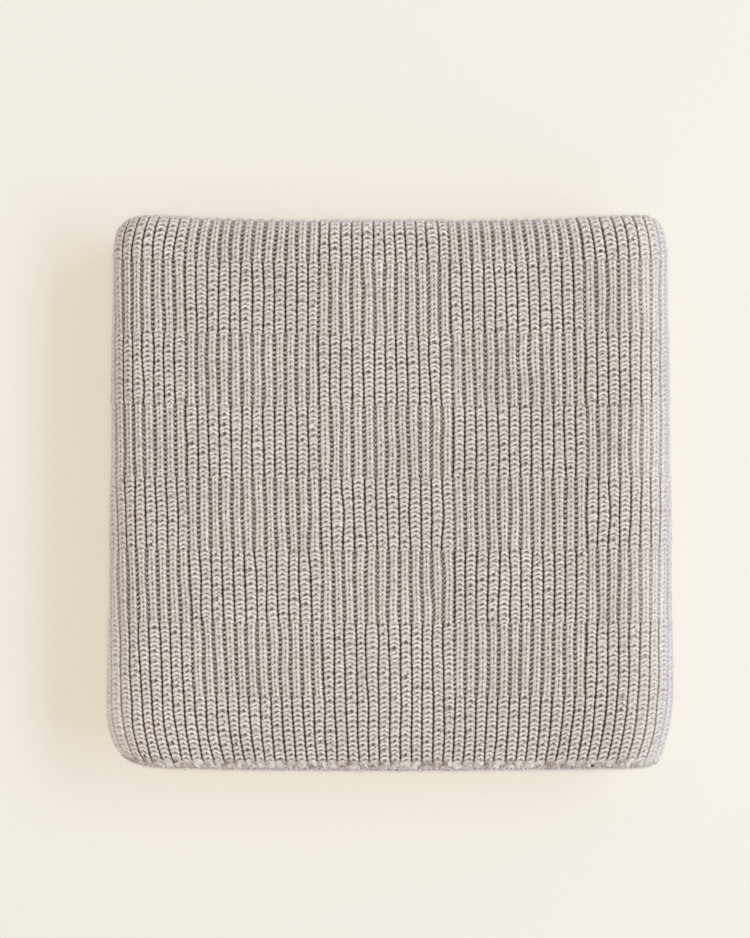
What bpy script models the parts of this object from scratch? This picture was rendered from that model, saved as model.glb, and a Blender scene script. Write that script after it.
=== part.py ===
"""Folded knitted blanket: one rib-knit cloth, folded in thirds and then to and fro in four levels."""

import math

import bmesh
import bpy

# Lengths are in metres. X runs across the folded blanket, +Y points to its back folds, +Z up.

# Cloth
CLOTH_THICK = 0.0032  # from the inner face to the bottom of the grooves between the ribs
RIB_RISE = 0.0010
RIBS_ON_TOP = 50  # ribs across the middle third of the cloth
RIB_CROWDING = 0.013  # how far the ribs crowd together where the cloth rolls over the sides
RIB_CROWDING_POWER = 9
LAYER_GAP = 0.0010  # air between the thirds that are folded under

# Outline of the folded stack, seen from above
HALF_WIDTH = 0.1333
HALF_LENGTH = 0.1310
FRONT_FOLD_BACK = 0.0030  # how far the front fold stays behind the top hem
LOWER_FOLD_BACK = 0.0025  # how far the lower back fold stays behind the upper one
BOTTOM_HEM_BACK = 0.0050  # how far the bottom hem stays behind the top hem

# Thirds folded under
LAYER_PITCH = CLOTH_THICK + LAYER_GAP
STRIP_THICK = 2 * LAYER_PITCH + CLOTH_THICK
LEFT_BEND_X = -(HALF_WIDTH - LAYER_PITCH / 2 - CLOTH_THICK / 2)
RIGHT_BEND_X = HALF_WIDTH - LAYER_PITCH - CLOTH_THICK / 2
EDGE_SETBACK = 0.0015  # the free side edges stop this far short of the bends
EDGE_STATIONS = (0.0, 0.005, 0.010, 0.016)  # points of a plain face, measured in from its ends
BEND_STEPS = {"left_outer": 5, "left_inner": 3, "right_outer": 6, "right_inner": 5}

# Levels folded to and fro
PLAIN_GAP = 0.0012  # between two undersides
RIBBED_GAP = 2 * RIB_RISE + 0.0012  # between two ribbed faces
FOLD_SQUARENESS = 3.4  # 2 is a round fold, higher is squarer
FOLD_STEPS = {"upper_back": 6, "front": 5, "lower_back": 5}
TOP_ROW_SHARES = (0.0, 0.035, 0.09, 0.28, 0.54, 0.76, 0.95)
INNER_ROW_SHARES = (0.5,)
BOTTOM_ROW_SHARES = (0.05, 0.5, 0.91, 1.0)
HEM_RIB_SHARE = 0.45  # ribs on the hem edge, as a share of their full rise

# Ribs that lie further out at the back, and further in at the front, than midway
RIB_DRIFT = {"left": 0.85, "right": 0.50}
DRIFT_POWER = 2
DRIFT_END_POWER = 12  # the drift dies out where the ribbed face meets the bends

# Shift of each level to the right
LEVEL_SHIFT = {"top": 0.0, "second": -0.0012, "third": 0.0010, "bottom": -0.0006}

# How the stack settles
SIDE_ROUND = 0.016
SIDE_DROP = 0.20
FRONT_ROUND = 0.020
FRONT_DROP = 0.08
CROWN = 0.03
CORNERS = {
    ("back", "left"): {"reach": 0.020, "pull_in": 0.0045, "cut": 0.0025, "cut_reach": 0.016},
    ("back", "right"): {"reach": 0.024, "pull_in": 0.0037, "cut": 0.0002, "cut_reach": 0.010},
    ("front", "left"): {"reach": 0.028, "pull_in": 0.0056, "cut": 0.0045, "cut_reach": 0.022},
    ("front", "right"): {"reach": 0.038, "pull_in": 0.0066, "cut": 0.0008, "cut_reach": 0.012},
}
PULL_POWER = 1.5  # how the pull of the corners grows from the middle to the sides
TAPER = 0.0125
RIB_LEAN = 0.00155  # how far the ribs lean to the left at the back and to the right at the front
RIB_OFFSET = 0.0007  # how far the middle ribs lie left of the middle
RIB_SPREAD = 0.010
RIB_GATHER = 0.040  # how the ribs draw together towards the front and the back
BACK_HOLLOW = 0.0028
FRONT_BULGE = 0.0015

COTTON_COLOUR = (0.56, 0.51, 0.45, 1.0)
COTTON_ROUGHNESS = 0.95


def rib_positions():
    """Positions across the cloth of each groove and each rib top, crowding towards the sides."""
    middle = (LEFT_BEND_X + RIGHT_BEND_X) / 2
    half = (RIGHT_BEND_X - LEFT_BEND_X) / 2
    positions = []
    for index in range(2 * RIBS_ON_TOP + 1):
        share = index / RIBS_ON_TOP - 1
        crowded = share - RIB_CROWDING * share**RIB_CROWDING_POWER
        positions.append(middle + half * crowded / (1 - RIB_CROWDING))
    return positions


def ribbed_face():
    """Top face of the middle third: grooves at height zero with a rib top between each two."""
    return [(x, RIB_RISE * (index % 2)) for index, x in enumerate(rib_positions())]


def plain_face(start, end, height):
    """Points of a plain face, close together at its ends, with one in the middle."""
    way = 1 if end > start else -1
    near = [start + way * inset for inset in EDGE_STATIONS]
    far = [end - way * inset for inset in reversed(EDGE_STATIONS)]
    return [(x, height) for x in near + [(start + end) / 2] + far]


def bend(centre_x, centre_height, radius, start_angle, end_angle, steps):
    """Points between the ends of a round bend, without the ends themselves."""
    points = []
    for step in range(1, steps):
        angle = start_angle + (end_angle - start_angle) * step / steps
        points.append((centre_x + radius * math.cos(angle), centre_height + radius * math.sin(angle)))
    return points


def third_section():
    """Outline across the strip: the middle third on top, the left and right thirds folded under."""
    up, left, right, down = math.pi / 2, math.pi, 0.0, -math.pi / 2
    left_height = -CLOTH_THICK / 2 - LAYER_PITCH / 2
    right_height = -CLOTH_THICK / 2 - LAYER_PITCH
    left_outer = LAYER_PITCH / 2 + CLOTH_THICK / 2
    left_inner = LAYER_PITCH / 2 - CLOTH_THICK / 2
    right_outer = LAYER_PITCH + CLOTH_THICK / 2
    right_inner = LAYER_PITCH - CLOTH_THICK / 2
    left_edge = LEFT_BEND_X + EDGE_SETBACK
    right_edge = RIGHT_BEND_X - EDGE_SETBACK
    steps = BEND_STEPS

    outline = ribbed_face()
    outline += bend(RIGHT_BEND_X, right_height, right_outer, up, down, steps["right_outer"])
    outline += plain_face(RIGHT_BEND_X, left_edge, -STRIP_THICK)
    outline += plain_face(left_edge, RIGHT_BEND_X, -2 * LAYER_PITCH)
    outline += bend(RIGHT_BEND_X, right_height, right_inner, down, up, steps["right_inner"])
    outline += plain_face(RIGHT_BEND_X, LEFT_BEND_X, -CLOTH_THICK)
    outline += bend(LEFT_BEND_X, left_height, left_inner, up, left + up, steps["left_inner"])
    outline += plain_face(LEFT_BEND_X, right_edge, -LAYER_PITCH)
    outline += plain_face(right_edge, LEFT_BEND_X, -LAYER_PITCH - CLOTH_THICK)
    outline += bend(LEFT_BEND_X, left_height, left_outer, left + up, up, steps["left_outer"])
    return outline


def level_row(y, height, facing, shift, rib_share):
    """One row across a level: where the ribbed face lies and which way it faces."""
    return {"y": y, "z": height, "out_y": 0.0, "out_z": facing, "shift": shift, "ribs": rib_share}


def fold_rows(centre, inner, facing, end_way, shifts, rib_shares, steps):
    """Rows round a fold, from the level above it to the level below it."""
    rows = []
    for step in range(steps + 1):
        share = step / steps
        angle = math.pi * share
        across, along = math.cos(angle), math.sin(angle)
        total = abs(across) ** FOLD_SQUARENESS + abs(along) ** FOLD_SQUARENESS
        stretch = total ** (-1 / FOLD_SQUARENESS)
        out_y = end_way * along * stretch
        out_z = across * stretch
        blend = (1 - across) / 2
        rows.append(
            {
                "y": centre[0] + inner * out_y,
                "z": centre[1] + inner * out_z,
                "out_y": facing * out_y,
                "out_z": facing * out_z,
                "shift": shifts[0] + (shifts[1] - shifts[0]) * blend,
                "ribs": rib_shares[0] + (rib_shares[1] - rib_shares[0]) * share,
            }
        )
    return rows


def level_rows(start_y, end_y, shares, height, facing, shift, rib_share):
    """Rows at shares of the way along a level."""
    return [
        level_row(start_y + (end_y - start_y) * share, height, facing, shift, rib_share)
        for share in shares
    ]


def folded_rows():
    """All rows along the strip, from the top hem to and fro down to the bottom hem."""
    third_face = 2 * STRIP_THICK + PLAIN_GAP
    second_face = third_face + RIBBED_GAP
    top_face = second_face + 2 * STRIP_THICK + PLAIN_GAP
    face_radius = STRIP_THICK + PLAIN_GAP / 2
    upper_centre = (HALF_LENGTH - face_radius - RIB_RISE, top_face - face_radius)
    front_centre = (
        -HALF_LENGTH + FRONT_FOLD_BACK + STRIP_THICK + RIBBED_GAP / 2,
        third_face + RIBBED_GAP / 2,
    )
    lower_centre = (upper_centre[0] - LOWER_FOLD_BACK, face_radius)
    shift = LEVEL_SHIFT

    rows = level_rows(-HALF_LENGTH, upper_centre[0], TOP_ROW_SHARES, top_face, 1, shift["top"], 1)
    rows[0]["ribs"] = HEM_RIB_SHARE
    rows += fold_rows(
        upper_centre, face_radius, 1, 1, (shift["top"], shift["second"]), (1, 1), FOLD_STEPS["upper_back"]
    )
    rows += level_rows(
        upper_centre[0], front_centre[0], INNER_ROW_SHARES, second_face, -1, shift["second"], 1
    )
    rows += fold_rows(
        front_centre, RIBBED_GAP / 2, -1, -1, (shift["second"], shift["third"]), (1, 1), FOLD_STEPS["front"]
    )
    rows += level_rows(
        front_centre[0], lower_centre[0], INNER_ROW_SHARES, third_face, 1, shift["third"], 1
    )
    rows += fold_rows(
        lower_centre, face_radius, 1, 1, (shift["third"], shift["bottom"]), (1, 0), FOLD_STEPS["lower_back"]
    )
    rows += level_rows(
        lower_centre[0], -HALF_LENGTH + BOTTOM_HEM_BACK, BOTTOM_ROW_SHARES, 0.0, -1, shift["bottom"], 0
    )
    return rows


def fading(distance, reach):
    """One at an edge, falling smoothly to nothing at the reach."""
    return max(0.0, 1 - max(distance, 0.0) / reach) ** 2


def settled(x, y, z):
    """Where a point of the square stack lies once the stack has settled."""
    across = x / HALF_WIDTH
    along = y / HALF_LENGTH
    side_gap = HALF_WIDTH - abs(x)
    end_gap = HALF_LENGTH - abs(y)
    z *= 1 - SIDE_DROP * fading(side_gap, SIDE_ROUND)
    z *= 1 - FRONT_DROP * fading(y + HALF_LENGTH, FRONT_ROUND)
    z *= 1 - CROWN * (across**2 + along**2) / 2
    corner = CORNERS["back" if y > 0 else "front", "right" if x > 0 else "left"]
    near_end = fading(end_gap, corner["reach"])
    pull = math.copysign(corner["pull_in"] * near_end * abs(across) ** PULL_POWER, x)
    cut = corner["cut"] * near_end * fading(side_gap, corner["cut_reach"])
    bow = 1 - across**2
    new_x = x * (1 + bow * (RIB_SPREAD - RIB_GATHER * along**2)) - pull
    new_x *= 1 - TAPER * along * across**2
    new_x -= (RIB_LEAN * along + RIB_OFFSET) * (1 - across**4)
    new_y = y - math.copysign(cut, y)
    new_y -= BACK_HOLLOW * bow * ((1 + along) / 2) ** 2
    new_y -= FRONT_BULGE * bow * ((1 - along) / 2) ** 2
    return new_x, new_y, z


def drifted(x, along):
    """Where a point of the ribbed face lies across, with the ribs running a little askew."""
    middle = (LEFT_BEND_X + RIGHT_BEND_X) / 2
    half = (RIGHT_BEND_X - LEFT_BEND_X) / 2
    share = abs(x - middle) / half
    side = "right" if x > middle else "left"
    ribs = RIB_DRIFT[side] * along * share**DRIFT_POWER * (1 - share**DRIFT_END_POWER)
    return x + math.copysign(2 * half * ribs / RIBS_ON_TOP, x - middle)


def laid_point(x, row, height):
    """Point of the folded, settled blanket for a place in the section and a row of the strip."""
    if height >= 0:
        x = drifted(x, row["y"] / HALF_LENGTH)
        height *= row["ribs"]
    y = row["y"] + height * row["out_y"]
    z = row["z"] + height * row["out_z"]
    return settled(x + row["shift"], y, z)


def folded_cloth():
    """Section drawn out row by row as a straight bar, then laid along the to-and-fro path."""
    rows = folded_rows()
    cloth = bmesh.new()
    corners = [cloth.verts.new((x, 0.0, height)) for x, height in third_section()]
    end_face = cloth.faces.new(corners)
    for row in range(1, len(rows)):
        grown = bmesh.ops.extrude_face_region(cloth, geom=[end_face])["geom"]
        if row > 1:
            bmesh.ops.delete(cloth, geom=[end_face], context="FACES_ONLY")
        moved = [part for part in grown if isinstance(part, bmesh.types.BMVert)]
        bmesh.ops.translate(cloth, vec=(0.0, 1.0, 0.0), verts=moved)
        end_face = next(part for part in grown if isinstance(part, bmesh.types.BMFace))
    hems = [face for face in cloth.faces if len(face.verts) > 4]
    bmesh.ops.triangulate(cloth, faces=hems)
    for vertex in cloth.verts:
        vertex.co = laid_point(vertex.co.x, rows[round(vertex.co.y)], vertex.co.z)
    bmesh.ops.triangulate(cloth, faces=cloth.faces)
    bmesh.ops.recalc_face_normals(cloth, faces=cloth.faces)
    return cloth


def centre_on_origin(cloth):
    """Puts the origin under the middle of the blanket, on the surface that it rests on."""
    xs = [vertex.co.x for vertex in cloth.verts]
    ys = [vertex.co.y for vertex in cloth.verts]
    zs = [vertex.co.z for vertex in cloth.verts]
    middle = ((min(xs) + max(xs)) / 2, (min(ys) + max(ys)) / 2, min(zs))
    bmesh.ops.translate(cloth, vec=[-value for value in middle], verts=cloth.verts)


def cotton_material():
    """Matt light grey cotton yarn."""
    material = bpy.data.materials.new("cotton_knit")
    material.use_nodes = True
    shader = material.node_tree.nodes["Principled BSDF"]
    shader.inputs["Base Color"].default_value = COTTON_COLOUR
    shader.inputs["Roughness"].default_value = COTTON_ROUGHNESS
    shader.inputs["Metallic"].default_value = 0.0
    return material


def build_blanket(collection):
    """The blanket as one closed solid."""
    cloth = folded_cloth()
    centre_on_origin(cloth)
    mesh = bpy.data.meshes.new("blanket")
    cloth.to_mesh(mesh)
    cloth.free()
    mesh.materials.append(cotton_material())
    collection.objects.link(bpy.data.objects.new("blanket", mesh))


def main():
    for old in list(bpy.data.objects):
        bpy.data.objects.remove(old)
    collection = bpy.data.collections.new("folded_blanket")
    bpy.context.scene.collection.children.link(collection)
    build_blanket(collection)


main()
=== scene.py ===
"""Folded rib-knit blanket in oatmeal cotton, on a cream surface, seen from straight above."""

import bpy
import numpy as np
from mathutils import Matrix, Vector


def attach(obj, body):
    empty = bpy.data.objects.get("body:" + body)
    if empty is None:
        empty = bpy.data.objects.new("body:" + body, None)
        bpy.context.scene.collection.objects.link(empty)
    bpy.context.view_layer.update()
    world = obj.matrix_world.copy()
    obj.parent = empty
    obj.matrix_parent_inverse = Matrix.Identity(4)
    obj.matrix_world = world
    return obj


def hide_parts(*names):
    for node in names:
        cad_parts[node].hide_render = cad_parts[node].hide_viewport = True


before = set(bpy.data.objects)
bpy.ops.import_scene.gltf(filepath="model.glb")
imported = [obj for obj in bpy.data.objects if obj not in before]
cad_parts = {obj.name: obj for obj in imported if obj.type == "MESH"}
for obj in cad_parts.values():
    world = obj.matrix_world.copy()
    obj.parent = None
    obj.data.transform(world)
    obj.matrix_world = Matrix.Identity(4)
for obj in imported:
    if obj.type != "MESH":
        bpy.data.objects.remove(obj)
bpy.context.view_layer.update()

# The cloth as it lies folded
# One knitted cloth, its left and right thirds folded under the middle one, and the strip that this
# makes folded to and fro in four levels. Its weight has rounded the sides and squared the folds.

CLOTH_THICK = 0.0032
RIB_RISE = 0.0010
LAYER_GAP = 0.0010
HALF_WIDTH = 0.1333
HALF_LENGTH = 0.1310
LAYER_PITCH = CLOTH_THICK + LAYER_GAP
STRIP_THICK = 2 * LAYER_PITCH + CLOTH_THICK
PLAIN_GAP = 0.0012
RIBBED_GAP = 2 * RIB_RISE + 0.0012

RIBS_ON_TOP = 50
RIB_PITCH = 0.00514
RIB_CROWDING = 0.013
RIB_CROWDING_POWER = 9
MIDDLE_LEFT = -(HALF_WIDTH - LAYER_PITCH / 2 - CLOTH_THICK / 2)
MIDDLE_RIGHT = HALF_WIDTH - LAYER_PITCH - CLOTH_THICK / 2
LEFT_BEND_RIBS = np.pi * (LAYER_PITCH + CLOTH_THICK) / 2 / RIB_PITCH
RIGHT_BEND_RIBS = np.pi * (2 * LAYER_PITCH + CLOTH_THICK) / 2 / RIB_PITCH
HALF_TOP_RIBS = RIBS_ON_TOP / 2
EDGE_RIB = 1.5 * RIBS_ON_TOP
EDGE_SETBACK = 0.0015


def across_cloth(rib):
    """Middle of the cloth's thickness at a rib count from its middle: place, height and facing."""
    share = np.clip(rib / HALF_TOP_RIBS, -1, 1)
    crowded = (share - RIB_CROWDING * share**RIB_CROWDING_POWER) / (1 - RIB_CROWDING)
    top_x = (MIDDLE_LEFT + MIDDLE_RIGHT) / 2 + (MIDDLE_RIGHT - MIDDLE_LEFT) / 2 * crowded
    x, height = top_x, np.full_like(top_x, -CLOTH_THICK / 2)
    face_x, face_up = np.zeros_like(top_x), np.ones_like(top_x)
    for side, bend_x, bend_ribs, radius, far_x in (
        (-1, MIDDLE_LEFT, LEFT_BEND_RIBS, LAYER_PITCH / 2, MIDDLE_RIGHT - EDGE_SETBACK),
        (1, MIDDLE_RIGHT, RIGHT_BEND_RIBS, LAYER_PITCH, MIDDLE_LEFT + EDGE_SETBACK),
    ):
        beyond = side * rib - HALF_TOP_RIBS
        angle = np.pi * np.clip(beyond / bend_ribs, 0, 1)
        under = np.clip((beyond - bend_ribs) / (EDGE_RIB - HALF_TOP_RIBS - bend_ribs), 0, 1)
        here = beyond > 0
        bent_x = bend_x + side * radius * np.sin(angle) + (far_x - bend_x) * under
        bent_height = -CLOTH_THICK / 2 - radius * (1 - np.cos(angle))
        x = np.where(here, bent_x, x)
        height = np.where(here, bent_height, height)
        face_x = np.where(here, side * np.sin(angle), face_x)
        face_up = np.where(here, np.cos(angle), face_up)
    return x, height, face_x, face_up


FRONT_FOLD_BACK = 0.0030
LOWER_FOLD_BACK = 0.0025
BOTTOM_HEM_BACK = 0.0050
FOLD_SQUARENESS = 3.4
LEVEL_SHIFT = (0.0, -0.0012, 0.0010, -0.0006)
PATH_SAMPLES = 400
THIRD_FACE = 2 * STRIP_THICK + PLAIN_GAP
SECOND_FACE = THIRD_FACE + RIBBED_GAP
TOP_FACE = SECOND_FACE + 2 * STRIP_THICK + PLAIN_GAP
FACE_RADIUS = STRIP_THICK + PLAIN_GAP / 2
UPPER_BACK = (HALF_LENGTH - FACE_RADIUS - RIB_RISE, TOP_FACE - FACE_RADIUS)
FRONT = (-HALF_LENGTH + FRONT_FOLD_BACK + STRIP_THICK + RIBBED_GAP / 2, THIRD_FACE + RIBBED_GAP / 2)
LOWER_BACK = (UPPER_BACK[0] - LOWER_FOLD_BACK, FACE_RADIUS)


def fold_samples(centre, inner, facing, end_way, shifts):
    """Rows round one fold, with their distance along its outer side."""
    angle = np.linspace(0, np.pi, PATH_SAMPLES)
    across, along = np.cos(angle), np.sin(angle)
    squared = np.abs(across) ** FOLD_SQUARENESS + np.abs(along) ** FOLD_SQUARENESS
    stretch = squared ** (-1 / FOLD_SQUARENESS)
    out_y, out_z = end_way * along * stretch, across * stretch
    steps = FACE_RADIUS * np.hypot(np.diff(out_y), np.diff(out_z))
    blend = (1 - across) / 2
    shift = shifts[0] + (shifts[1] - shifts[0]) * blend
    y, z = centre[0] + inner * out_y, centre[1] + inner * out_z
    columns = np.array([y, z, facing * out_y, facing * out_z, shift])
    return np.concatenate([[0], np.cumsum(steps)]), columns


def level_samples(start_y, end_y, height, facing, shift):
    """The two ends of one level, with their distance."""
    ends = [(start_y, height, 0, facing, shift), (end_y, height, 0, facing, shift)]
    return np.array([0, abs(end_y - start_y)]), np.array(ends, float).T


def strip_path():
    """The whole way along the strip, to and fro from the top hem down to the bottom hem."""
    shift = LEVEL_SHIFT
    parts = [
        level_samples(-HALF_LENGTH, UPPER_BACK[0], TOP_FACE, 1, shift[0]),
        fold_samples(UPPER_BACK, FACE_RADIUS, 1, 1, shift[0:2]),
        level_samples(UPPER_BACK[0], FRONT[0], SECOND_FACE, -1, shift[1]),
        fold_samples(FRONT, RIBBED_GAP / 2, -1, -1, shift[1:3]),
        level_samples(FRONT[0], LOWER_BACK[0], THIRD_FACE, 1, shift[2]),
        fold_samples(LOWER_BACK, FACE_RADIUS, 1, 1, shift[2:4]),
        level_samples(LOWER_BACK[0], -HALF_LENGTH + BOTTOM_HEM_BACK, 0, -1, shift[3]),
    ]
    distances, columns, ends = [], [], [0.0]
    for distance, values in parts:
        distances.append(ends[-1] + distance)
        columns.append(values)
        ends.append(ends[-1] + distance[-1])
    return np.concatenate(distances), np.concatenate(columns, axis=1), ends


PATH_DISTANCE, PATH_COLUMNS, PATH_ENDS = strip_path()
TOP_LEVEL_END, UPPER_FOLD_END, SECOND_LEVEL_END, FRONT_FOLD_END = PATH_ENDS[1:5]
THIRD_LEVEL_END, LOWER_FOLD_END, CLOTH_LENGTH = PATH_ENDS[5:]

SIDE_ROUND = 0.016
SIDE_DROP = 0.20
FRONT_ROUND = 0.020
FRONT_DROP = 0.08
CROWN = 0.03
CORNERS = {  # front left, front right, back left, back right
    "reach": (0.028, 0.038, 0.020, 0.024),
    "pull_in": (0.0056, 0.0066, 0.0045, 0.0037),
    "cut": (0.0045, 0.0008, 0.0025, 0.0002),
    "cut_reach": (0.022, 0.012, 0.016, 0.010),
}
PULL_POWER = 1.5
TAPER = 0.0125
RIB_LEAN = 0.00155
RIB_OFFSET = 0.0007
RIB_SPREAD = 0.010
RIB_GATHER = 0.040
BACK_HOLLOW = 0.0028
FRONT_BULGE = 0.0015
MIDDLE_OF_OUTLINE = (-0.00038, -0.00092)


def fading(distance, reach):
    """One at an edge, falling smoothly to nothing at the reach."""
    return np.maximum(0, 1 - np.maximum(distance, 0) / reach) ** 2


def settled(x, y, z):
    """Where a point of the square stack lies once the stack has settled."""
    across, along = x / HALF_WIDTH, y / HALF_LENGTH
    side_gap, end_gap = HALF_WIDTH - np.abs(x), HALF_LENGTH - np.abs(y)
    z = z * (1 - SIDE_DROP * fading(side_gap, SIDE_ROUND))
    z = z * (1 - FRONT_DROP * fading(y + HALF_LENGTH, FRONT_ROUND))
    z = z * (1 - CROWN * (across**2 + along**2) / 2)
    place = 2 * (y > 0) + (x > 0)
    corner = {name: np.array(values)[place] for name, values in CORNERS.items()}
    near_end = fading(end_gap, corner["reach"])
    pull = np.sign(x) * corner["pull_in"] * near_end * np.abs(across) ** PULL_POWER
    cut = corner["cut"] * near_end * fading(side_gap, corner["cut_reach"])
    bow = 1 - across**2
    new_x = x * (1 + bow * (RIB_SPREAD - RIB_GATHER * along**2)) - pull
    new_x = new_x * (1 - TAPER * along * across**2)
    new_x = new_x - (RIB_LEAN * along + RIB_OFFSET) * (1 - across**4)
    new_y = y - np.sign(y) * cut - BACK_HOLLOW * bow * ((1 + along) / 2) ** 2
    new_y = new_y - FRONT_BULGE * bow * ((1 - along) / 2) ** 2
    return new_x - MIDDLE_OF_OUTLINE[0], new_y - MIDDLE_OF_OUTLINE[1], z


LEFT_DRIFT = 0.85  # ribs that lie further out at the back, and further in at the front, than midway
RIGHT_DRIFT = 0.50
FRONT_OR_BACK = (-1, 1, 1, -1, -1, 1, 1, -1)  # where each level or fold of the path ends
SWAY = 0.05  # ribs that a groove wanders to either side
SWAY_LENGTH = 0.015
SWAY_GROOVES = 170
SWAY_TABLE = np.random.default_rng(3).normal(0, 1, (SWAY_GROOVES, 90))


def smooth_step(value):
    """Nothing up to zero and one from one on, with an even ease between."""
    value = np.clip(value, 0, 1)
    return value * value * (3 - 2 * value)


def swaying(groove, distance):
    """How far a groove wanders to the side at a distance along the cloth."""
    place = np.clip(distance, 0, CLOTH_LENGTH) / SWAY_LENGTH
    before = np.floor(place).astype(int)
    row = groove.astype(int) + SWAY_GROOVES // 2
    start, stop = SWAY_TABLE[row, before], SWAY_TABLE[row, before + 1]
    return SWAY * (start + (stop - start) * smooth_step(place - before))


def drifted(rib, distance):
    """The rib count that a rib would have if the ribs ran dead straight along the folded cloth."""
    groove = np.floor(rib)
    left, right = swaying(groove, distance), swaying(groove + 1, distance)
    sway = left + (right - left) * (rib - groove)
    share = np.clip(np.abs(rib) / HALF_TOP_RIBS, 0, 1) ** 2
    share = share * np.clip((EDGE_RIB - np.abs(rib)) / (EDGE_RIB - HALF_TOP_RIBS), 0, 1)
    along = np.interp(distance, PATH_ENDS, FRONT_OR_BACK)
    return rib + sway + np.where(rib < 0, -LEFT_DRIFT, RIGHT_DRIFT) * along * share


SURFACE_TOUCH = 0.00005  # the surface underneath presses flat whatever would reach below this


def laid(rib, distance, off_middle, past_end=0.0):
    """Points of the folded cloth: rib count, distance from the top hem, height off the mid face."""
    x, height, face_x, face_up = across_cloth(drifted(rib, distance))
    y, z, out_y, out_z, shift = (
        np.interp(distance, PATH_DISTANCE, column) for column in PATH_COLUMNS
    )
    x = x + off_middle * face_x + shift
    height = height + off_middle * face_up
    y = y + height * out_y - past_end
    z = np.maximum(z + height * out_z, SURFACE_TOUCH)
    return np.stack(settled(x, y, z), axis=-1)


# The knit
# Ribs of stitches run the length of the cloth. Blocks of plump ribs and of thin ribs with a purl
# furrow between them take turns like the squares of a board, twelve ribs wide and fifteen rows high.

STITCH = 0.002287  # the height of one row
BLOCK_RIBS = 12
BLOCK_ROWS = 15
BORDER_ROWS = 15
BLOCK_SHARPNESS = 2  # one kind of rib turns into the other over half a row
CLOTH_ROWS = CLOTH_LENGTH / STITCH


def plump_share(rib, stitch_row):
    """One in a plump block and in the borders, nothing in a thin block."""
    column = np.floor((np.floor(rib) + BLOCK_RIBS / 2) / BLOCK_RIBS)
    rows = (stitch_row - BORDER_ROWS) / BLOCK_ROWS
    block = np.floor(rows)
    place = (rows - block) * BLOCK_ROWS
    last_block = np.floor((CLOTH_ROWS - 2 * BORDER_ROWS) / BLOCK_ROWS) - 1

    def kind(number):
        border = (number < 0) | (number > last_block)
        return np.where(border, 1.0, ((column + number) % 2 == 0).astype(float))

    here, before, after = kind(block), kind(block - 1), kind(block + 1)
    into = smooth_step(BLOCK_SHARPNESS * place + 0.5)
    out_of = smooth_step(BLOCK_SHARPNESS * (place - BLOCK_ROWS) + 0.5)
    return before + (here - before) * into + (after - here) * out_of


TABLE_RIBS = 160
TABLE_STITCHES = 520
LEG_SHARPNESS = 3
uneven = np.random.default_rng(7)
LEG_LIFT = uneven.normal(0, 1, (TABLE_RIBS, 2, TABLE_STITCHES))
LEG_TONE = uneven.normal(0, 1, (TABLE_RIBS, 2, TABLE_STITCHES))
RIB_PHASE = uneven.normal(0, 0.10, TABLE_RIBS)


def table_row(rib):
    """Where a rib stands in the tables of uneven stitches."""
    return np.clip(np.floor(rib).astype(int) + TABLE_RIBS // 2, 0, TABLE_RIBS - 1)


def per_leg(table, rib, turn):
    """A value of its own for each leg of each stitch, easing from one stitch to the next."""
    column = table_row(rib)
    half = (rib - np.floor(rib) > 0.5).astype(int)
    place = turn - 0.5
    before = np.floor(place).astype(int)
    blend = smooth_step((place - before - 0.5) * LEG_SHARPNESS + 0.5)
    low = table[column, half, before % TABLE_STITCHES]
    high = table[column, half, (before + 1) % TABLE_STITCHES]
    return low + (high - low) * blend


def bell(value, middle, width):
    """One at the middle, falling to nothing on both sides."""
    return np.exp(-(((value - middle) / width) ** 2))


def wave(turn, sharpness):
    """One between two stitches, nothing in the middle of a stitch."""
    return (0.5 + 0.5 * np.cos(2 * np.pi * turn)) ** sharpness


# Heights are in metres off the cloth's outer face, widths across are shares of half a rib, turns and
# shifts are shares of a stitch, and lights and shades are painted light and painted shade, as shares
# of the light of plain yarn.

LEG_CURVE = 1.3
LEG_SHIFT = 0.13
RIB_ROUNDNESS = 0.6
GAP_SHARPNESS = 1.5
SEAM_WIDTH = 0.17
SEAM_DEPTH = 0.00012
HOLE_REACH = 1.3


def openness(tone):
    """How far the hole between two stitches stands open, which scales its painted shade, where tone
    is the stitch's own.
    """
    return np.clip(0.85 + 0.30 * tone, 0, 1.1)


PLUMP_SLANT = 0.50  # stitches that a leg drops from the rib's middle to its side
PLUMP_FLOOR = -0.0011
PLUMP_RISE = 0.0021
PLUMP_DIP = 0.0004
PLUMP_FALL = 0.0003
PLUMP_HOLE_DEPTH = 0.00055
PLUMP_LIFT = 0.00007
PLUMP_SQUARENESS = 7
PLUMP_WAIST = 0.14
PLUMP_LIGHT = 1.01
PLUMP_GAP_SHADE = 0.26
HOLE_MIDDLE = 0.04
HOLE_WIDTH = 0.34
HOLE_SHARPNESS = 2
HOLE_SHADE = 0.90
GROOVE_START = 0.80
GROOVE_WIDTH = 0.19
GROOVE_SHADE = 0.94
GROOVE_SWAY = 0.02
NOTCH_DEPTH = 0.14
NOTCH_TURN = 0.05
NOTCH_SHARPNESS = 1.1


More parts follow.
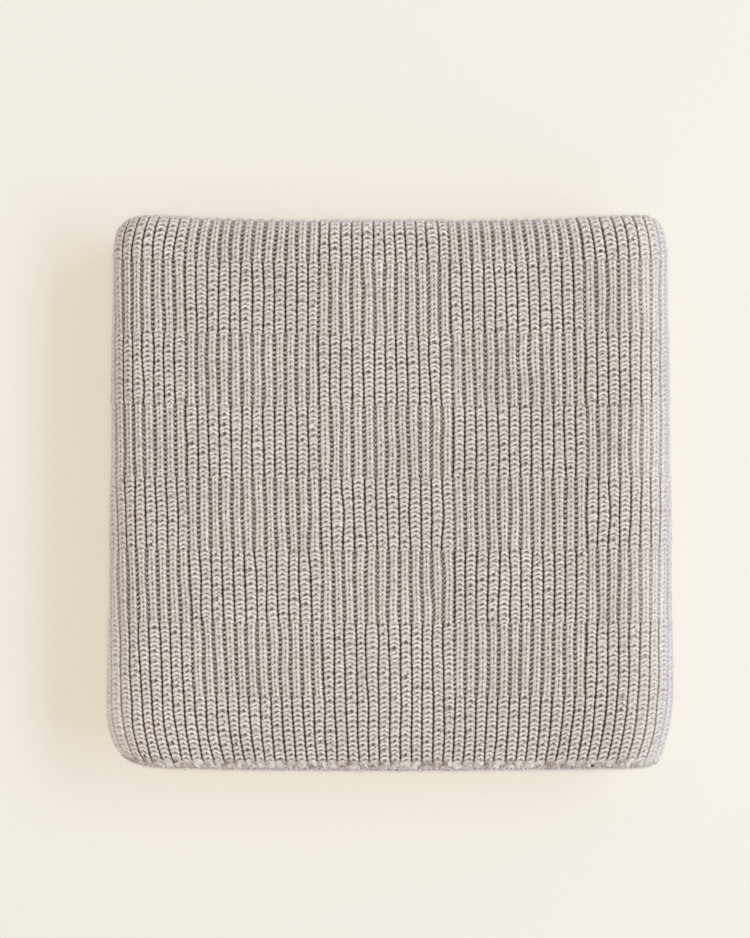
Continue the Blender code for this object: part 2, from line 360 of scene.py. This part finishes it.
def plump_rib(side, turn, lift, tone):
    """Height of a plump rib and its painted light: fat legs in arcs from its middle down to its
    grooves, with painted shade in the gaps, holes and grooves.
    """
    leg_turn = turn + PLUMP_SLANT * side**LEG_CURVE + LEG_SHIFT * lift
    gap = wave(leg_turn, GAP_SHARPNESS)
    flat_side = np.minimum(side * (1 + PLUMP_WAIST * gap), 1) ** PLUMP_SQUARENESS
    dome = np.maximum(0, 1 - flat_side) ** RIB_ROUNDNESS
    height = PLUMP_FLOOR + PLUMP_RISE * dome - PLUMP_DIP * gap * dome - PLUMP_FALL * side**2
    height = height - bell(side, 0, SEAM_WIDTH) * (SEAM_DEPTH + PLUMP_HOLE_DEPTH * gap)
    height = height + PLUMP_LIFT * lift * dome
    hole = bell(side, HOLE_MIDDLE, HOLE_WIDTH) * wave(leg_turn, HOLE_SHARPNESS)
    hole = np.clip(HOLE_REACH * openness(tone) * hole, 0, 1)
    notch = wave(leg_turn + NOTCH_TURN, NOTCH_SHARPNESS)
    groove_start = GROOVE_START - NOTCH_DEPTH * notch + GROOVE_SWAY * lift
    groove = smooth_step((side - groove_start) / GROOVE_WIDTH)
    # painted shade in the gaps between stitches, in the holes and down the grooves
    light = (PLUMP_LIGHT - PLUMP_GAP_SHADE * gap) * (1 - HOLE_SHADE * hole)
    return height, light * (1 - GROOVE_SHADE * groove)


FURROW_FLOOR = -0.0004
FURROW_LIGHT = 0.43
FURROW_TONE = 0.05
PURL_LIGHT = 0.29
PURL_WIDTH = 0.25
PURL_TURN = 0.6
PURL_SHARPNESS = 1.5
DOT_DEPTH = 0.0007
DOT_SHADE = 0.97
DOT_START = 0.62
DOT_RAMP = 0.2
DOT_TURN = 0.1
DOT_SHARPNESS = 1.6
DOT_SIZE = 1.4
DOT_SPREAD = 0.3


def purl_furrow(side, turn, tone):
    """Height of the furrow between thin ribs and its painted light: purl bumps painted lighter, with
    a dot of painted shade by each.
    """
    dot = np.clip((DOT_SIZE + DOT_SPREAD * tone) * wave(turn + DOT_TURN, DOT_SHARPNESS), 0, 1)
    dot = dot * smooth_step((side - DOT_START) / DOT_RAMP)
    purl = bell(side, 1, PURL_WIDTH) * wave(turn + PURL_TURN, PURL_SHARPNESS)
    # painted shade on the furrow floor and in its dots, painted highlight on the purl bumps;
    # FURROW_TONE is random tone
    light = (FURROW_LIGHT + FURROW_TONE * tone + PURL_LIGHT * purl) * (1 - DOT_SHADE * dot)
    return FURROW_FLOOR - DOT_DEPTH * dot, light


THIN_SLANT = 0.45
THIN_FLOOR = -0.0006
THIN_RISE = 0.0012
THIN_DIP = 0.0002
THIN_HOLE_DEPTH = 0.00042
THIN_LIFT = 0.00006
THIN_HALF_WIDTH = 0.66
THIN_SQUARENESS = 3.2
THIN_LIGHT = 0.95
THIN_GAP_SHADE = 0.22
LEG_GLEAM = 0.14
LEG_MIDDLE = 0.34
LEG_WIDTH = 0.16
SEAM_SHADE = 0.20
THIN_HOLE_SHADE = 0.85
THIN_EDGE = 1.4


def thin_rib(side, turn, lift, tone):
    """Height of a thin rib, one row of neat stitches, and of the furrow beside it, with their
    painted light and shade.
    """
    furrow_turn = turn + THIN_SLANT * side**LEG_CURVE
    leg_turn = furrow_turn + LEG_SHIFT * lift
    gap, seam = wave(leg_turn, GAP_SHARPNESS), bell(side, 0, SEAM_WIDTH)
    ridge = np.maximum(0, 1 - (side / THIN_HALF_WIDTH) ** THIN_SQUARENESS) ** RIB_ROUNDNESS
    height = THIN_FLOOR + THIN_RISE * ridge - THIN_DIP * gap * ridge
    height = height - seam * (SEAM_DEPTH + THIN_HOLE_DEPTH * gap) + THIN_LIFT * lift * ridge
    hole = np.clip(HOLE_REACH * openness(tone) * seam * gap, 0, 1)
    # painted highlight along the crests of the legs, painted shade in the gaps between stitches,
    # down the middle seam and in the holes
    light = (THIN_LIGHT + LEG_GLEAM * bell(side, LEG_MIDDLE, LEG_WIDTH)) * (1 - THIN_GAP_SHADE * gap)
    light = light * (1 - SEAM_SHADE * seam) * (1 - THIN_HOLE_SHADE * hole)
    furrow_height, furrow_light = purl_furrow(side, furrow_turn, tone)
    light = furrow_light + (light - furrow_light) * smooth_step(ridge * THIN_EDGE)
    return np.maximum(height, furrow_height), light


CAST_ON_ROWS = 1.5
CORD_FLOOR = -0.0008
CORD_RISE = 0.0009
CORD_STRAND = 0.0005
CORD_LIFT = 0.00012
STRANDS_PER_RIB = 2
STRANDS_PER_ROW = 0.8
STRAND_SHIFT = 0.15
CORD_LIGHT = 0.42
CORD_LUMP_LIGHT = 0.16
CORD_STRAND_LIGHT = 0.26
CORD_TONE = 0.20
CORD_ROW_LIGHT = 0.06
CORD_ROWS = 1.3


def cast_on_cord(rib, side, stitch_row, from_end, lift, tone):
    """Height of the twisted cord of yarn along a cast-on or cast-off edge, with its painted light
    and shade.
    """
    turn = STRANDS_PER_RIB * rib + STRANDS_PER_ROW * stitch_row + STRAND_SHIFT * lift
    strand = wave(turn, 1)
    lump = np.maximum(0, 1 - side**3)
    height = CORD_FLOOR + CORD_RISE * lump + CORD_STRAND * strand + CORD_LIFT * lift
    # painted light on the raised lumps and strands, painted shade between them and on the last row
    # at the very edge; CORD_TONE is random tone
    light = CORD_LIGHT + CORD_LUMP_LIGHT * lump + CORD_STRAND_LIGHT * strand + CORD_TONE * tone
    return height, light + CORD_ROW_LIGHT * np.minimum(from_end, CORD_ROWS)


RIGHT_PALE_RIB = 20
RIGHT_PALE_RIBS = 7
RIGHT_PALE_SHARE = 0.50
LEFT_PALE_RIB = 23.5
LEFT_PALE_RIBS = 2.5
LEFT_PALE_SHARE = 0.45
BACK_ROW = (TOP_LEVEL_END + 0.0120) / STITCH  # the row that lies along the back edge
BACK_PALE_ROWS = 3.6
BACK_PALE_SHARE = 0.24


def painted_sheen_share(rib, stitch_row):
    """How far the yarn is painted paler, a painted sheen on the fuzz seen edge on where the cloth
    turns down, most on the right, which faces the window light.
    """
    right = RIGHT_PALE_SHARE * smooth_step((rib - RIGHT_PALE_RIB) / RIGHT_PALE_RIBS)
    left = LEFT_PALE_SHARE * smooth_step((-rib - LEFT_PALE_RIB) / LEFT_PALE_RIBS)
    from_back = np.abs(stitch_row - BACK_ROW)
    back = BACK_PALE_SHARE * smooth_step((BACK_PALE_ROWS - from_back) / BACK_PALE_ROWS)
    return np.maximum(right + left, back)


TONE_SPREAD = 0.05
DARKEST = 0.02
PALEST = 1.18
FULL_LIGHT = 0.82  # the lightness of plain yarn, and what is above it is painted sheen on the fuzz


def knit_relief(rib, stitch_row):
    """Height of the knit off the cloth's outer face, and the yarn's painted light and shade there,
    with its own random tone.
    """
    side = np.abs((rib - np.floor(rib)) * 2 - 1)
    turn = stitch_row + RIB_PHASE[table_row(rib)]
    lift = per_leg(LEG_LIFT, rib, turn + PLUMP_SLANT * side**LEG_CURVE)
    tone = per_leg(LEG_TONE, rib, turn + PLUMP_SLANT * side**LEG_CURVE)

    plump = plump_share(rib, stitch_row)
    plump_height, plump_light = plump_rib(side, turn, lift, tone)
    thin_height, thin_light = thin_rib(side, turn, lift, tone)
    height = plump * plump_height + (1 - plump) * thin_height
    light = (plump * plump_light + (1 - plump) * thin_light) * (1 + TONE_SPREAD * tone)

    from_end = np.minimum(stitch_row, CLOTH_ROWS - stitch_row)
    cast_on = smooth_step(CAST_ON_ROWS + 0.5 - from_end)
    cord_height, cord_light = cast_on_cord(rib, side, stitch_row, from_end, lift, tone)
    height = height + (cord_height - height) * cast_on
    light = np.clip(light + (cord_light - light) * cast_on, DARKEST, 1)
    return height, FULL_LIGHT * (light + (PALEST - light) * painted_sheen_share(rib, stitch_row))


# The ramp of painted light: painted shade between stitches, yarn in painted shade, plain yarn, and
# painted sheen on the fuzz
PAINTED_SHADE_BETWEEN_STITCHES = (0.016, 0.0045, 0.0005, 1)
SHADED_YARN = (0.380, 0.328, 0.292, 1)
PLAIN_YARN = (0.815, 0.763, 0.732, 1)
PAINTED_FUZZ_SHEEN = (0.97, 0.95, 0.905, 1)


def cotton_yarn():
    """Soft matt cotton yarn, oatmeal with paler and darker fibres, with painted shade down between
    the ribs and painted sheen where the cloth turns down.
    """
    material = bpy.data.materials.new("oatmeal_cotton")
    material.use_nodes = True
    nodes, links = material.node_tree.nodes, material.node_tree.links
    place = nodes.new("ShaderNodeTexCoord")

    def unevenness(scale, detail, roughness):
        noise = nodes.new("ShaderNodeTexNoise")
        noise.inputs["Scale"].default_value = scale
        noise.inputs["Detail"].default_value = detail
        noise.inputs["Roughness"].default_value = roughness
        links.new(place.outputs["Object"], noise.inputs["Vector"])
        return noise.outputs["Fac"]

    def tones(source, darkest, palest):
        spread = nodes.new("ShaderNodeMapRange")
        spread.inputs["From Min"].default_value = 0.3
        spread.inputs["From Max"].default_value = 0.7
        spread.inputs["To Min"].default_value = darkest
        spread.inputs["To Max"].default_value = palest
        links.new(source, spread.inputs["Value"])
        return spread.outputs["Result"]

    shader = nodes["Principled BSDF"]
    shader.inputs["Roughness"].default_value = 0.95
    shader.inputs["Sheen Weight"].default_value = 0.25
    shader.inputs["Sheen Roughness"].default_value = 0.45
    shader.inputs["Specular IOR Level"].default_value = 0.08
    painted_knit_light = nodes.new("ShaderNodeAttribute")
    painted_knit_light.attribute_name = "painted_knit_light"
    colours = nodes.new("ShaderNodeValToRGB")
    colours.color_ramp.elements[0].position = 0.0
    colours.color_ramp.elements[0].color = PAINTED_SHADE_BETWEEN_STITCHES
    colours.color_ramp.elements[1].position = 1.0
    colours.color_ramp.elements[1].color = PAINTED_FUZZ_SHEEN
    plain = colours.color_ramp.elements.new(FULL_LIGHT)
    plain.color = PLAIN_YARN
    shaded = colours.color_ramp.elements.new(FULL_LIGHT / 2)
    shaded.color = SHADED_YARN
    links.new(painted_knit_light.outputs["Fac"], colours.inputs["Fac"])
    flecks = tones(unevenness(scale=1400, detail=5, roughness=0.75), darkest=0.48, palest=1.48)
    patches = tones(unevenness(scale=30, detail=2, roughness=0.5), darkest=0.95, palest=1.05)
    both = nodes.new("ShaderNodeMath")
    both.operation = "MULTIPLY"
    links.new(flecks, both.inputs[0])
    links.new(patches, both.inputs[1])
    flecked = nodes.new("ShaderNodeVectorMath")
    flecked.operation = "SCALE"
    links.new(colours.outputs["Color"], flecked.inputs[0])
    links.new(both.outputs["Value"], flecked.inputs["Scale"])
    links.new(flecked.outputs["Vector"], shader.inputs["Base Color"])
    fine_bumps = nodes.new("ShaderNodeBump")
    fine_bumps.inputs["Strength"].default_value = 0.8
    fine_bumps.inputs["Distance"].default_value = 0.0003
    links.new(unevenness(scale=1500, detail=3, roughness=0.5), fine_bumps.inputs["Height"])
    links.new(fine_bumps.outputs["Normal"], shader.inputs["Normal"])
    return material


YARN = cotton_yarn()


def knitted_piece(name, mesh, light):
    """A piece of the cloth, with the knit's painted light and shade kept for the yarn's colour."""
    attribute = mesh.attributes.new("painted_knit_light", "FLOAT", "POINT")
    attribute.data.foreach_set("value", light.reshape(-1).astype(np.float32))
    mesh.materials.append(YARN)
    piece = bpy.data.objects.new(name, mesh)
    bpy.context.scene.collection.objects.link(piece)
    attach(piece, "root")
    return piece


def cloth_object(name, points, light, ring=False):
    """A piece over a grid of points. A ring closes across the cloth and is capped at both hems."""
    rows, columns = points.shape[:2]
    index = np.arange(rows * columns).reshape(rows, columns)
    if ring:
        index = np.concatenate([index, index[:, :1]], axis=1)
    corners = np.stack([index[:-1, :-1], index[:-1, 1:], index[1:, 1:], index[1:, :-1]], axis=-1)
    faces = corners.reshape(-1, 4)
    if ring:
        one = np.arange(columns // 2 - 1)
        other = columns - 1 - one
        first, last = index[0], index[-1]
        start_cap = np.stack([first[one], first[other], first[other - 1], first[one + 1]], axis=-1)
        end_cap = np.stack([last[one], last[one + 1], last[other - 1], last[other]], axis=-1)
        faces = np.concatenate([faces, start_cap, end_cap])
    mesh = bpy.data.meshes.new(name)
    mesh.vertices.add(rows * columns)
    mesh.vertices.foreach_set("co", points.reshape(-1).astype(np.float32))
    mesh.loops.add(faces.size)
    mesh.loops.foreach_set("vertex_index", faces.reshape(-1).astype(np.int32))
    mesh.polygons.add(len(faces))
    mesh.polygons.foreach_set("loop_start", np.arange(0, faces.size, 4, dtype=np.int32))
    mesh.update(calc_edges=True)
    mesh.validate()
    mesh.shade_smooth()
    return knitted_piece(name, mesh, light)


def rib_stations(first, last, shares):
    """Rib counts from the first to the last groove, with points at the same shares of each rib."""
    stations = (np.arange(first, last)[:, None] + np.array(shares)[None, :]).reshape(-1)
    return np.append(stations, last)


FINE_SHARES = (0.0, 0.06, 0.13, 0.24, 0.37, 0.5, 0.63, 0.76, 0.87, 0.94)
COARSE_SHARES = (0.0, 0.1, 0.35, 0.5, 0.65, 0.9)
PLAIN_SHARES = (0.0, 0.25, 0.5, 0.75)


def pressed_flat(distance):
    """How far the ribs are pressed in: not at all at first, fully on the level underneath."""
    share = (distance - THIRD_LEVEL_END) / (LOWER_FOLD_END - THIRD_LEVEL_END)
    return RIB_RISE * np.clip(share, 0, 1)


def knit_face(name, first_rib, last_rib, start, end, shares, rows_per_stitch):
    """One piece of the knit's outer face, its rows of points following the slant of the legs."""
    rib = rib_stations(first_rib, last_rib, shares)
    first_row, last_row = start / STITCH, end / STITCH
    count = max(2, int(round((last_row - first_row) * rows_per_stitch)) + 1)
    ribs, rows = np.meshgrid(rib, np.linspace(first_row, last_row, count))
    side = np.abs((ribs - np.floor(ribs)) * 2 - 1)
    slant = THIN_SLANT + (PLUMP_SLANT - THIN_SLANT) * plump_share(ribs, rows)
    rows = np.clip(rows - slant * side**LEG_CURVE, 0, CLOTH_ROWS)
    relief, light = knit_relief(ribs, rows)
    distance = rows * STITCH
    points = laid(ribs, distance, CLOTH_THICK / 2 + relief - pressed_flat(distance))
    return cloth_object(name, points, light)


# Middle of the cloth's thickness
# The backs of the stitches, hidden between the layers: a thin closed sheet through the whole cloth,
# from one side edge round the bends to the other and along every fold, which the faces lie on.

CORE_HALF = 0.0003
CORE_PAINTED_SHADE = 0.3
GROOVE_PAINTED_SHADE = 0.02
LEVEL_STEPS = 20
FOLD_STEPS = 14


def cloth_core():
    """A closed thin sheet through every layer of the folded cloth."""
    one_side = np.append(np.arange(-EDGE_RIB, EDGE_RIB, 1.0), EDGE_RIB)
    ribs = np.concatenate([one_side, one_side[::-1]])
    off = np.repeat([CORE_HALF, -CORE_HALF], len(one_side))
    distances = [0.0]
    for number, end in enumerate(PATH_ENDS[1:]):
        steps = LEVEL_STEPS if number % 2 == 0 else FOLD_STEPS
        distances += list(np.linspace(distances[-1], end, steps + 1)[1:])
    grid_ribs, grid_distance = np.meshgrid(ribs, distances)
    grid_off = np.broadcast_to(off, grid_ribs.shape)
    points = laid(grid_ribs, grid_distance, grid_off)
    # painted shade: the sheet is dark where it lies between the layers, and near black on its upper
    # side under the top panel, where it shows down the grooves
    on_top = (np.abs(grid_ribs) < HALF_TOP_RIBS) & (grid_distance < UPPER_FOLD_END)
    light = np.where(on_top & (grid_off > 0), GROOVE_PAINTED_SHADE, CORE_PAINTED_SHADE)
    return cloth_object("cloth_core", points, light, ring=True)


core = cloth_core()

# Top panel
# The face of the middle third on the top level and over the upper back fold, nearly all that shows
# from above. It is parted in the deep grooves between ribs only to keep each piece of mesh small.

TOP_END = UPPER_FOLD_END - 0.004
LEFT_RIB = -28
RIGHT_RIB = 30
TOP_PARTS = ((LEFT_RIB, -15), (-15, 0), (0, 15), (15, RIGHT_RIB))
TOP_ROWS_PER_STITCH = 4

top_panel = [
    knit_face(f"top_panel_{number}", first, last, 0.0, TOP_END, FINE_SHARES, TOP_ROWS_PER_STITCH)
    for number, (first, last) in enumerate(TOP_PARTS, 1)
]

# Lower folds and sides
# What shows of the levels below: the bends of the side thirds, the front fold of the two middle
# levels, the lower back fold and the underside, on which the ribs are pressed flat.

LEFT_THIRD_RIB = -31
INNER_RIB = 24
FOLD_OVERLAP = 0.008
UNDERSIDE_START = LOWER_FOLD_END + 0.010
FRONT_SPAN = (SECOND_LEVEL_END - FOLD_OVERLAP, FRONT_FOLD_END + FOLD_OVERLAP)
LOWER_BACK_SPAN = (THIRD_LEVEL_END - FOLD_OVERLAP, UNDERSIDE_START)

lower_faces = [
    knit_face("left_side", LEFT_THIRD_RIB, -INNER_RIB, TOP_END, CLOTH_LENGTH, COARSE_SHARES, 2),
    knit_face("right_side", INNER_RIB, RIGHT_RIB, TOP_END, CLOTH_LENGTH, COARSE_SHARES, 2),
    knit_face("front_fold", RIGHT_RIB, EDGE_RIB, *FRONT_SPAN, COARSE_SHARES, 3),
    knit_face("lower_back_fold", -INNER_RIB, INNER_RIB, *LOWER_BACK_SPAN, COARSE_SHARES, 3),
    knit_face("underside", -INNER_RIB, INNER_RIB, UNDERSIDE_START, CLOTH_LENGTH, PLAIN_SHARES, 1),
]

# Hems and side edges
# The cast-on and cast-off edges of the cloth: the last rows turn round the end of each layer in a
# small twisted cord of yarn. The free side edges are turned the same way, stitch by stitch.

EDGE_RADIUS = 0.0014
TURN_STEPS = 9
HEM_HALF_TURNS = (-0.25, 1.25)
HEM_STRAND = 0.0005
HEM_WAVER = 0.00025
SHORT_WAVER = 1.9  # radians a rib
LONG_WAVER = 0.73
HEM_SETBACK = 0.0004
HEM_LIGHT = 0.36
HEM_STRAND_LIGHT = 0.40
HEM_RIM_LIGHT = 0.55
HEM_GRAIN = 0.10


def hem_turn(name, distance):
    """The rounded end of the cloth, through all the layers, at one end of its length."""
    rib = rib_stations(-EDGE_RIB, EDGE_RIB, COARSE_SHARES)
    ribs, angles = np.meshgrid(rib, np.linspace(*HEM_HALF_TURNS, TURN_STEPS) * np.pi)
    strand = wave(STRANDS_PER_RIB * ribs + angles / np.pi, 1)
    radius = EDGE_RADIUS + HEM_STRAND * strand
    radius = radius + HEM_WAVER * np.sin(ribs * SHORT_WAVER) * np.sin(ribs * LONG_WAVER + 1)
    past_end = radius * np.sin(angles) - HEM_SETBACK
    points = laid(ribs, np.full_like(ribs, distance), radius * np.cos(angles), past_end)
    # painted shade between the strands and a painted highlight on the outermost rim; the grain is
    # random tone
    grain = HEM_GRAIN * np.random.default_rng(5).normal(0, 1, ribs.shape)
    rim = np.maximum(np.sin(angles), 0) ** 3
    light = HEM_LIGHT + HEM_STRAND_LIGHT * strand + HEM_RIM_LIGHT * rim + grain
    return cloth_object(name, points, FULL_LIGHT * light)


EDGE_HALF_TURNS = (-0.2, 1.2)
EDGE_THINNER = 0.0002
EDGE_STRAND = 0.0003
EDGE_INSET_RIBS = 0.6
EDGE_LIGHT = 0.5
EDGE_STRAND_LIGHT = 0.4
LEFT_EDGE_SEEN = 0.03  # the left third's edge shows at the top hem alone, inside the right bend


def side_edge_turn(name, rib, start, end):
    """The rounded free side edge of a third, along a stretch of its length."""
    stitch_row = np.arange(start / STITCH, end / STITCH, 0.5)
    angles, rows = np.meshgrid(np.linspace(*EDGE_HALF_TURNS, TURN_STEPS) * np.pi, stitch_row)
    strand = wave(rows + angles / np.pi, 1)
    radius = EDGE_RADIUS - EDGE_THINNER + EDGE_STRAND * strand
    ribs_out = radius * np.sin(angles) / RIB_PITCH
    ribs = rib - np.sign(rib) * (EDGE_INSET_RIBS - ribs_out)
    points = laid(ribs, rows * STITCH, radius * np.cos(angles))
    # painted shade between the strands of the edge
    return cloth_object(name, points, FULL_LIGHT * (EDGE_LIGHT + EDGE_STRAND_LIGHT * strand))


edges = [
    hem_turn("top_hem", 0.0),
    hem_turn("bottom_hem", CLOTH_LENGTH),
    side_edge_turn("right_third_edge", EDGE_RIB, 0.0, CLOTH_LENGTH),
    side_edge_turn("left_third_edge", -EDGE_RIB, 0.0, LEFT_EDGE_SEEN),
]

# Loose fibres
# Cotton yarn is hairy: short fibres stand off it everywhere, and show most along the sides, the
# back fold and the top hem, where they blur the outline of the cloth.

FIBRE_LENGTH = 0.0017
SHORTEST_FIBRE = 0.25
FIBRE_WIDTH = 0.00012
FIBRE_ROOT = 0.0003
FIBRE_LEAN_RIBS = 0.22
FIBRE_LEAN = 0.0007
FIBRE_BENDS = ((0.0, 0.0), (0.55, 0.35), (1.0, 1.0))  # shares of its length and of its lean
HEM_RIM = 0.0009
BACK_FOLD_SEEN = (TOP_LEVEL_END + 0.005, UPPER_FOLD_END - 0.012)
FIBRE_PLACES = (  # lowest and highest rib, stretch of the length, number, whether on the hem
    (-26.5, -24.0, (0.0, TOP_LEVEL_END), 3400, False),
    (24.0, 28.0, (0.0, TOP_LEVEL_END), 4200, False),
    (-26.0, 26.0, BACK_FOLD_SEEN, 5000, False),
    (-26.0, 26.0, (0.0, 0.0), 5000, True),
    (-24.0, 24.0, (0.0, TOP_LEVEL_END), 2000, False),
)


def loose_fibres(name):
    """Short bent fibres, each a narrow pointed strip standing off the face or out from the hem."""
    strew = np.random.default_rng(11)
    outlines = []
    for low_rib, high_rib, stretch, number, on_hem in FIBRE_PLACES:
        rib = strew.uniform(low_rib, high_rib, number)
        distance = strew.uniform(*stretch, number)
        length = FIBRE_LENGTH * strew.uniform(SHORTEST_FIBRE, 1, number)
        lean_rib = strew.normal(0, FIBRE_LEAN_RIBS, number)
        lean = strew.normal(0, FIBRE_LEAN, number)
        if on_hem:
            root = strew.uniform(-1, 1, number) * EDGE_RADIUS
        else:
            root = CLOTH_THICK / 2 + knit_relief(rib, distance / STITCH)[0] - FIBRE_ROOT
        spine = []
        for share, bend in FIBRE_BENDS:
            height = root if on_hem else root + length * share
            past_end = HEM_RIM + length * share if on_hem else 0
            spine.append(laid(rib + lean_rib * bend, distance + lean * bend, height, past_end))
        foot, knee, tip = spine
        across = np.cross(tip - foot, strew.normal(0, 1, (number, 3)))
        across = across / np.linalg.norm(across, axis=1)[:, None] * FIBRE_WIDTH / 2
        outline = (foot - across, foot + across, knee + across, knee - across, tip)
        outlines.append(np.stack(outline, axis=1))
    points = np.concatenate(outlines)
    first = 5 * np.arange(len(points))[:, None]
    triangles = np.concatenate([first + [0, 1, 2], first + [0, 2, 3], first + [3, 2, 4]])
    mesh = bpy.data.meshes.new(name)
    mesh.from_pydata(points.reshape(-1, 3).tolist(), [], triangles.tolist())
    return knitted_piece(name, mesh, np.full(points.shape[:2], FULL_LIGHT))


fuzz = loose_fibres("loose_fibres")

# Surface, light and camera
# A plain cream surface, wide and matt. Cool light comes from a long window on the right and warm
# light from overhead, in a pale room, and the camera looks straight down.

FLOOR_COLOUR = (0.88, 0.85, 0.80, 1)
FLOOR_HALF = 8.0

floor_mesh = bpy.data.meshes.new("floor")
floor_corners = [(-FLOOR_HALF, -FLOOR_HALF, 0), (FLOOR_HALF, -FLOOR_HALF, 0)]
floor_corners += [(FLOOR_HALF, FLOOR_HALF, 0), (-FLOOR_HALF, FLOOR_HALF, 0)]
floor_mesh.from_pydata(floor_corners, [], [(0, 1, 2, 3)])
floor = bpy.data.objects.new("floor", floor_mesh)
bpy.context.scene.collection.objects.link(floor)
floor_material = bpy.data.materials.new("cream_surface")
floor_material.use_nodes = True
floor_shader = floor_material.node_tree.nodes["Principled BSDF"]
floor_shader.inputs["Base Color"].default_value = FLOOR_COLOUR
floor_shader.inputs["Roughness"].default_value = 0.9
floor_shader.inputs["Specular IOR Level"].default_value = 0.1
floor_mesh.materials.append(floor_material)


def soft_light(name, place, target, size, power, colour):
    """A flat rectangular area light aimed at a point."""
    data = bpy.data.lights.new(name, "AREA")
    data.shape = "RECTANGLE"
    data.size, data.size_y = size
    data.energy = power
    data.color = colour
    light = bpy.data.objects.new(name, data)
    light.location = place
    light.rotation_euler = (Vector(target) - Vector(place)).to_track_quat("-Z", "Y").to_euler()
    bpy.context.scene.collection.objects.link(light)


soft_light(
    "window",
    place=(2.121, 0.28, 2.151),
    target=(0, 0, 0.03),
    size=(3.0, 0.95),
    power=38.5,
    colour=(0.56, 0.71, 1.0),
)
soft_light(
    "overhead",
    place=(0.0, 0.0, 5.0),
    target=(0, 0, 0),
    size=(1.2, 1.2),
    power=147,
    colour=(1.0, 0.90, 0.65),
)

ROOM_COLOUR = (0.833, 0.861, 1.0, 1)
ROOM_STRENGTH = 0.36
world = bpy.data.worlds.new("room")
bpy.context.scene.world = world
world.use_nodes = True
room = world.node_tree.nodes["Background"]
room.inputs["Color"].default_value = ROOM_COLOUR
room.inputs["Strength"].default_value = ROOM_STRENGTH

PICTURE_HEIGHT_PX = 938
MM_PER_PX = 0.471
PICTURE_MIDDLE = (-0.00705, 0.0104)
BLANKET_TOP = 0.053
CAMERA_ABOVE_TOP = 1.1
SENSOR = 36.0
camera_data = bpy.data.cameras.new("camera")
camera_data.sensor_width = SENSOR
camera_data.lens = SENSOR * CAMERA_ABOVE_TOP / (PICTURE_HEIGHT_PX * MM_PER_PX / 1000)
camera = bpy.data.objects.new("camera", camera_data)
camera.location = (*PICTURE_MIDDLE, BLANKET_TOP + CAMERA_ABOVE_TOP)
bpy.context.scene.collection.objects.link(camera)
bpy.context.scene.camera = camera
bpy.context.scene.view_settings.view_transform = "Standard"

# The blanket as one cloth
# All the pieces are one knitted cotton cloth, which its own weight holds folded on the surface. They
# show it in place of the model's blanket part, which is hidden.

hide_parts("blanket")
